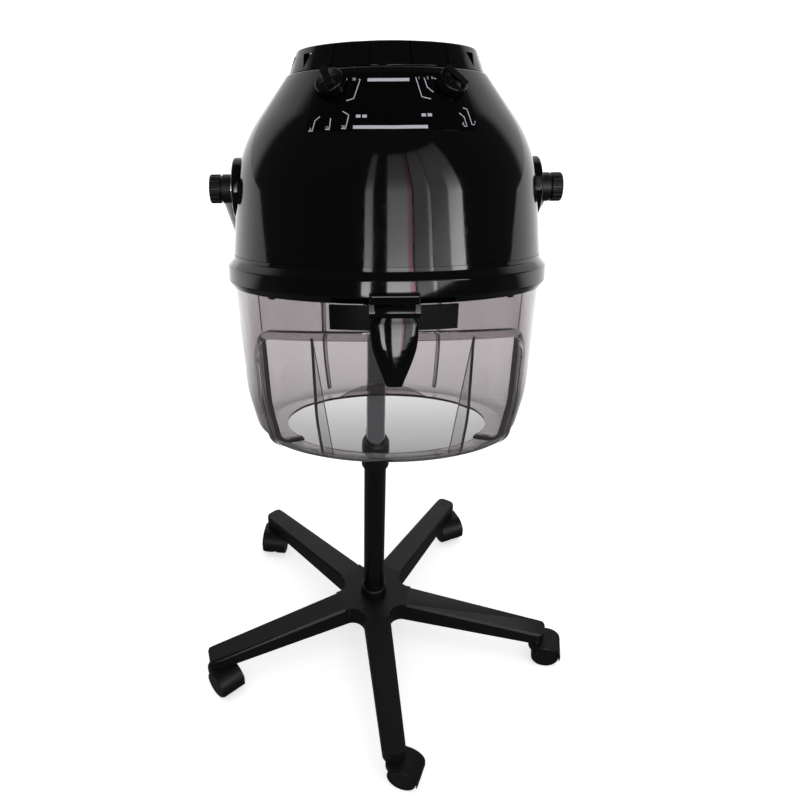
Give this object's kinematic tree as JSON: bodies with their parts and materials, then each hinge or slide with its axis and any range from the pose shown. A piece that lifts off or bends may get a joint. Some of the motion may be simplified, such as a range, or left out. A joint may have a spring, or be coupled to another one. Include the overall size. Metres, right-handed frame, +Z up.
{
  "type": "standing hood dryer",
  "caption": "Salon hood dryer: black domed blower hood over a smoke-clear bowl with a flip-up visor, tilting in a tube yoke on a telescopic post and a rolling star base.",
  "frame": {"origin": "centre of the footprint of the whole stand, on the floor", "axes": "+Z up along the post, +Y from the sitter's face side to the back, +X to the right as seen from the front"},
  "size_m": [0.638, 0.7129, 1.1262],
  "materials": {
    "housing_black": "polished black moulding",
    "panel_film": "smooth black film plate",
    "matte_black": "satin black moulding",
    "tube_black": "black stove enamel",
    "smoke_clear": "smoke tinted clear plastic",
    "chrome_tube": "polished",
    "steel": "plain turned steel",
    "mica": "pale mica board",
    "fan_white": "off-white moulding",
    "control_body": "cream moulded case",
    "air_plate": "plain pressed sheet"
  },
  "bodies": {
    "base": {"star_base": "matte_black", "stem_sockets": "steel", "hub_collar": "matte_black", "outer_tube": "tube_black", "guide_bush": "matte_black", "clamp_collar": "matte_black"},
    "height_clamp": {"clamp_screw": "steel", "clamp_knob": "matte_black"},
    "mast": {"inner_tube": "chrome_tube"},
    "head_yoke": {"yoke_socket": "matte_black", "yoke": "chrome_tube", "knuckle_left": "matte_black", "knuckle_right": "matte_black"},
    "hood": {"pivot_washers": "steel", "pivot_bolts": "steel", "outer_housing": "housing_black", "crown_vent": "housing_black", "top_grille": "housing_black", "rim_band": "housing_black", "control_panel": "panel_film", "timer": "control_body", "thermostat": "control_body", "motor": "steel", "motor_bracket": "steel", "heater_boards": "mica", "heater_rings": "steel", "air_distributor": "air_plate", "clear_bowl": "smoke_clear", "hinge_bracket": "housing_black", "hinge_pin": "steel", "cord_gland": "matte_black"},
    "knob_left": {"tilt_knob_left": "matte_black"},
    "knob_right": {"tilt_knob_right": "matte_black"},
    "timer_dial": {"timer_dial": "matte_black"},
    "temperature_dial": {"temperature_dial": "matte_black"},
    "blower": {"motor_shaft": "steel", "fan_impeller": "fan_white"},
    "visor": {"flip_visor": "smoke_clear", "visor_handle": "housing_black", "handle_plate": "matte_black"},
    "caster_1": {"caster_1_housing": "matte_black", "caster_1_stem": "steel", "caster_1_axle": "steel"},
    "caster_1_wheels": {"caster_1_wheels": "matte_black"},
    "caster_2": {"caster_2_housing": "matte_black", "caster_2_stem": "steel", "caster_2_axle": "steel"},
    "caster_2_wheels": {"caster_2_wheels": "matte_black"},
    "caster_3": {"caster_3_housing": "matte_black", "caster_3_stem": "steel", "caster_3_axle": "steel"},
    "caster_3_wheels": {"caster_3_wheels": "matte_black"},
    "caster_4": {"caster_4_housing": "matte_black", "caster_4_stem": "steel", "caster_4_axle": "steel"},
    "caster_4_wheels": {"caster_4_wheels": "matte_black"},
    "caster_5": {"caster_5_housing": "matte_black", "caster_5_stem": "steel", "caster_5_axle": "steel"},
    "caster_5_wheels": {"caster_5_wheels": "matte_black"}
  },
  "joints": [
    {"name": "height_slide", "type": "slide", "parent": "base", "child": "mast", "axis": [0, 0, 1], "range_m": [-0.12, 0.17]},
    {"name": "height_clamp_turn", "type": "hinge", "parent": "base", "child": "height_clamp", "pos_m": [-0.02307, 0.11952, 0.4323], "axis": [0, 1, 0], "range_deg": [-180, 180]},
    {"name": "head_swivel", "type": "hinge", "parent": "mast", "child": "head_yoke", "pos_m": [-0.02307, 0.08423, 0.72], "axis": [0, 0, 1], "range_deg": [-170, 170]},
    {"name": "hood_tilt", "type": "hinge", "parent": "head_yoke", "child": "hood", "pos_m": [-0.02307, -0.13077, 0.969], "axis": [-1, 0, 0], "range_deg": [-25.8, 25]},
    {"name": "tilt_knob_left_turn", "type": "hinge", "parent": "hood", "child": "knob_left", "pos_m": [-0.20107, -0.13077, 0.969], "axis": [-1, 0, 0], "range_deg": [-180, 180]},
    {"name": "tilt_knob_right_turn", "type": "hinge", "parent": "hood", "child": "knob_right", "pos_m": [0.15493, -0.13077, 0.969], "axis": [1, 0, 0], "range_deg": [-180, 180]},
    {"name": "timer_turn", "type": "hinge", "parent": "hood", "child": "timer_dial", "pos_m": [-0.07701, -0.19254, 1.09212], "axis": [0.3818, 0.4646, -0.799], "range_deg": [0, 300]},
    {"name": "temperature_turn", "type": "hinge", "parent": "hood", "child": "temperature_dial", "pos_m": [0.03088, -0.19254, 1.09212], "axis": [-0.3818, 0.4646, -0.799], "range_deg": [0, 300]},
    {"name": "fan_spin", "type": "hinge", "parent": "hood", "child": "blower", "pos_m": [-0.02307, -0.11657, 1.00639], "axis": [0, 0.3551, 0.9348], "continuous": true},
    {"name": "visor_lift", "type": "hinge", "parent": "hood", "child": "visor", "pos_m": [-0.02307, -0.3315, 0.93368], "axis": [-1, 0, 0], "range_deg": [0, 100]},
    {"name": "caster_1_swivel", "type": "hinge", "parent": "base", "child": "caster_1", "pos_m": [0.00047, -0.21484, 0.06], "axis": [0, 0, 1], "continuous": true},
    {"name": "caster_1_roll", "type": "hinge", "parent": "caster_1", "child": "caster_1_wheels", "pos_m": [0.01902, -0.22234, 0.0245], "axis": [0.3746, 0.9272, 0], "continuous": true},
    {"name": "caster_2_swivel", "type": "hinge", "parent": "base", "child": "caster_2", "pos_m": [0.26865, 0.0142, 0.06], "axis": [0, 0, 1], "continuous": true},
    {"name": "caster_2_roll", "type": "hinge", "parent": "caster_2", "child": "caster_2_wheels", "pos_m": [0.28834, 0.01072, 0.0245], "axis": [0.1736, 0.9848, 0], "continuous": true},
    {"name": "caster_3_swivel", "type": "hinge", "parent": "base", "child": "caster_3", "pos_m": [0.13368, 0.34002, 0.06], "axis": [0, 0, 1], "continuous": true},
    {"name": "caster_3_roll", "type": "hinge", "parent": "caster_3", "child": "caster_3_wheels", "pos_m": [0.14118, 0.32148, 0.0245], "axis": [0.9272, 0.3746, 0], "continuous": true},
    {"name": "caster_4_swivel", "type": "hinge", "parent": "base", "child": "caster_4", "pos_m": [-0.2179, 0.31235, 0.06], "axis": [0, 0, 1], "continuous": true},
    {"name": "caster_4_roll", "type": "hinge", "parent": "caster_4", "child": "caster_4_wheels", "pos_m": [-0.22068, 0.29255, 0.0245], "axis": [0.9903, -0.1392, 0], "continuous": true},
    {"name": "caster_5_swivel", "type": "hinge", "parent": "base", "child": "caster_5", "pos_m": [-0.30023, -0.03057, 0.06], "axis": [0, 0, 1], "continuous": true},
    {"name": "caster_5_roll", "type": "hinge", "parent": "caster_5", "child": "caster_5_wheels", "pos_m": [-0.28737, -0.04589, 0.0245], "axis": [0.766, 0.6428, 0], "continuous": true}
  ]
}
